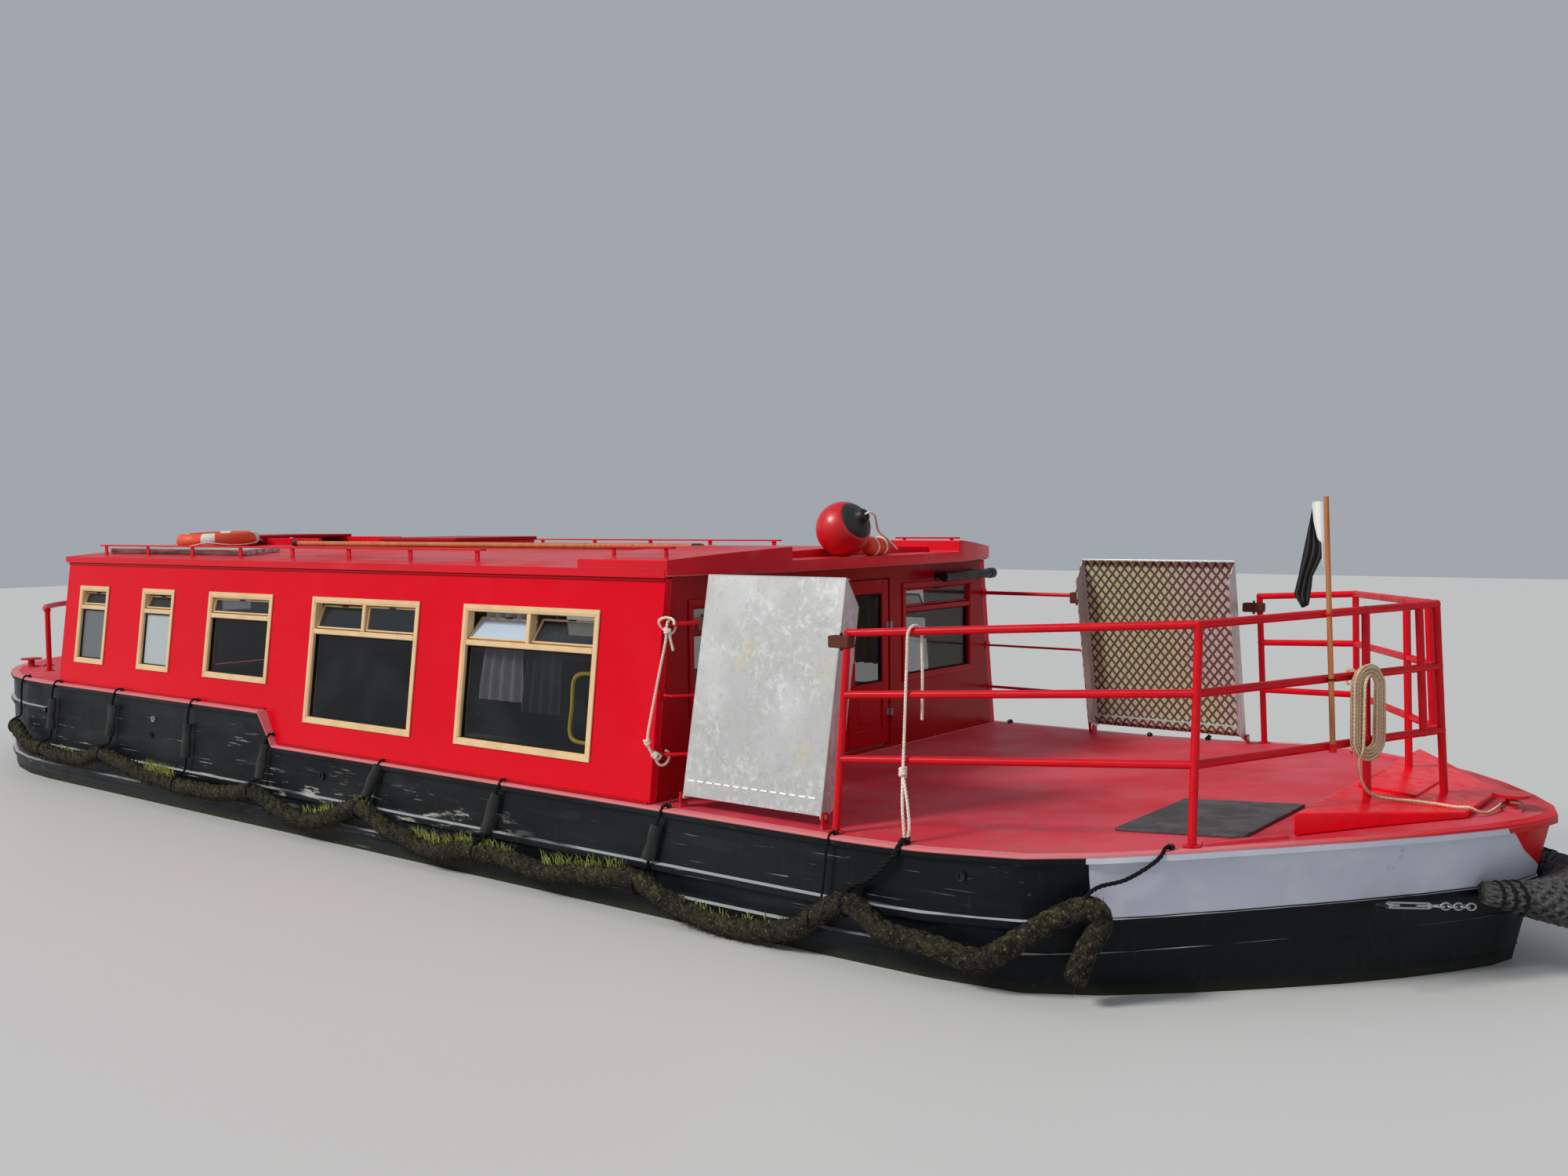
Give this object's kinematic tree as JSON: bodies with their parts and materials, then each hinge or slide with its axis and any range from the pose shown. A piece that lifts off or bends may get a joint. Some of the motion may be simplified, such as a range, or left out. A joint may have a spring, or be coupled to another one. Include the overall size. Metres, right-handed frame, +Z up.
{
  "type": "wide canal trip narrowboat",
  "caption": "Canal trip narrowboat with a panelled cabin, railed foredeck, hinged boarding ramps, doors, hatches, rope fenders, tiller steering and screw.",
  "frame": {"origin": "centre of the bounding box's bottom, on the level of the flat bottom's underside", "axes": "+X towards the bow, +Y to port, +Z up; the waterline afloat lies at z 0.50 m"},
  "size_m": [13.286, 3.9866, 2.679],
  "materials": {
    "hull_black": "satin black hull paint, scuffed",
    "red_paint": "gloss red paint",
    "dark_red_paint": "gloss darker red paint",
    "deck_paint": "matt faded red deck paint",
    "window_frame": "varnished pale timber frame",
    "galvanised": "hot-dip galvanised sheet",
    "engine_iron": "painted iron",
    "bronze": "dull bronze",
    "plywood": "varnished plywood",
    "bare_wood": "bare orange-brown wood",
    "manila_rope": "laid natural rope",
    "white_rope": "weathered white rope",
    "dark_rope": "old dark rope",
    "black_rubber": "matt black rubber",
    "orange_plastic": "matt orange plastic",
    "red_vinyl": "gloss red vinyl",
    "yellow_paint": "gloss yellow paint",
    "white_paint": "weathered white paint",
    "black_paint": "satin black paint",
    "flag_cloth": "woven black cloth"
  },
  "bodies": {
    "boat": {"hull": "hull_black", "engine": "engine_iron", "stern_deck": "deck_paint", "cabin_floor": "plywood", "front_wall": "dark_red_paint", "rear_wall": "red_paint", "cabin_roof": "red_paint", "front_canopy": "red_paint", "foredeck": "deck_paint", "bow_locker": "red_paint", "side_railing_starboard": "red_paint", "side_railing_port": "red_paint", "bow_railing_starboard": "red_paint", "bow_railing_port": "red_paint", "taffrail": "red_paint", "bow_fender": "dark_rope", "gangplank": "white_paint", "lifebuoy": "orange_plastic", "boat_pole": "plywood", "ball_fender": "red_vinyl", "tube_fender": "orange_plastic", "deck_mat": "black_rubber", "deck_lamp": "black_paint", "flagpole": "bare_wood", "furled_flag": "flag_cloth", "mooring_hank": "manila_rope", "mooring_line": "manila_rope", "stub_rope": "white_rope", "rail_rope": "white_rope", "entry_guard": "yellow_paint", "cabin_side_starboard": "red_paint", "front_window_starboard": "dark_red_paint", "stub_rail_starboard": "red_paint", "side_fender_starboard": "dark_rope", "window_starboard_1": "window_frame", "window_starboard_2": "window_frame", "window_starboard_3": "window_frame", "window_starboard_4": "window_frame", "window_starboard_5": "window_frame", "cabin_side_port": "red_paint", "front_window_port": "dark_red_paint", "stub_rail_port": "red_paint", "side_fender_port": "dark_rope", "window_port_1": "window_frame", "window_port_2": "window_frame", "window_port_3": "window_frame", "window_port_4": "window_frame", "window_port_5": "window_frame"},
    "propeller": {"propeller": "bronze"},
    "steering": {"rudder": "black_paint", "tiller": "bronze"},
    "sliding_hatch": {"sliding_hatch": "dark_red_paint"},
    "roof_hatch_lid": {"roof_hatch_lid": "dark_red_paint"},
    "bow_locker_lid": {"bow_locker_lid": "dark_red_paint"},
    "boarding_ramp_starboard": {"boarding_ramp_starboard": "galvanised"},
    "front_door_starboard": {"front_door_starboard": "dark_red_paint"},
    "rear_door_starboard": {"rear_door_starboard": "red_paint"},
    "boarding_ramp_port": {"boarding_ramp_port": "galvanised"},
    "front_door_port": {"front_door_port": "dark_red_paint"},
    "rear_door_port": {"rear_door_port": "red_paint"}
  },
  "joints": [
    {"name": "propeller_spin", "type": "hinge", "parent": "boat", "child": "propeller", "pos_m": [-5.877, 0, 0.24], "axis": [1, 0, 0], "continuous": true},
    {"name": "rudder_turn", "type": "hinge", "parent": "boat", "child": "steering", "pos_m": [-6.297, 0, 1.3], "axis": [0, 0, 1], "range_deg": [-35, 35]},
    {"name": "boarding_ramp_starboard_drop", "type": "hinge", "parent": "boat", "child": "boarding_ramp_starboard", "pos_m": [3.032, -1.755, 1.14], "axis": [1, 0, 0], "range_deg": [0, 100]},
    {"name": "boarding_ramp_port_drop", "type": "hinge", "parent": "boat", "child": "boarding_ramp_port", "pos_m": [3.763, 1.755, 1.14], "axis": [-1, 0, 0], "range_deg": [0, 100]},
    {"name": "front_door_starboard_swing", "type": "hinge", "parent": "boat", "child": "front_door_starboard", "pos_m": [2.414, -0.458, 1.6], "axis": [0, 0, -1], "range_deg": [0, 95]},
    {"name": "front_door_port_swing", "type": "hinge", "parent": "boat", "child": "front_door_port", "pos_m": [2.414, 0.458, 1.6], "axis": [0, 0, 1], "range_deg": [0, 95]},
    {"name": "rear_door_starboard_swing", "type": "hinge", "parent": "boat", "child": "rear_door_starboard", "pos_m": [-4.208, -0.458, 1.8], "axis": [0, 0, 1], "range_deg": [0, 95]},
    {"name": "rear_door_port_swing", "type": "hinge", "parent": "boat", "child": "rear_door_port", "pos_m": [-4.208, 0.458, 1.8], "axis": [0, 0, -1], "range_deg": [0, 95]},
    {"name": "sliding_hatch_slide", "type": "slide", "parent": "boat", "child": "sliding_hatch", "axis": [1, 0, 0], "range_m": [0, 0.74]},
    {"name": "roof_hatch_lid_lift", "type": "hinge", "parent": "boat", "child": "roof_hatch_lid", "pos_m": [-0.891, 0, 2.439], "axis": [0, 1, 0], "range_deg": [0, 100]},
    {"name": "bow_locker_lid_lift", "type": "hinge", "parent": "boat", "child": "bow_locker_lid", "pos_m": [5.541, 0, 1.2895], "axis": [0, -1, 0], "range_deg": [0, 95]}
  ]
}
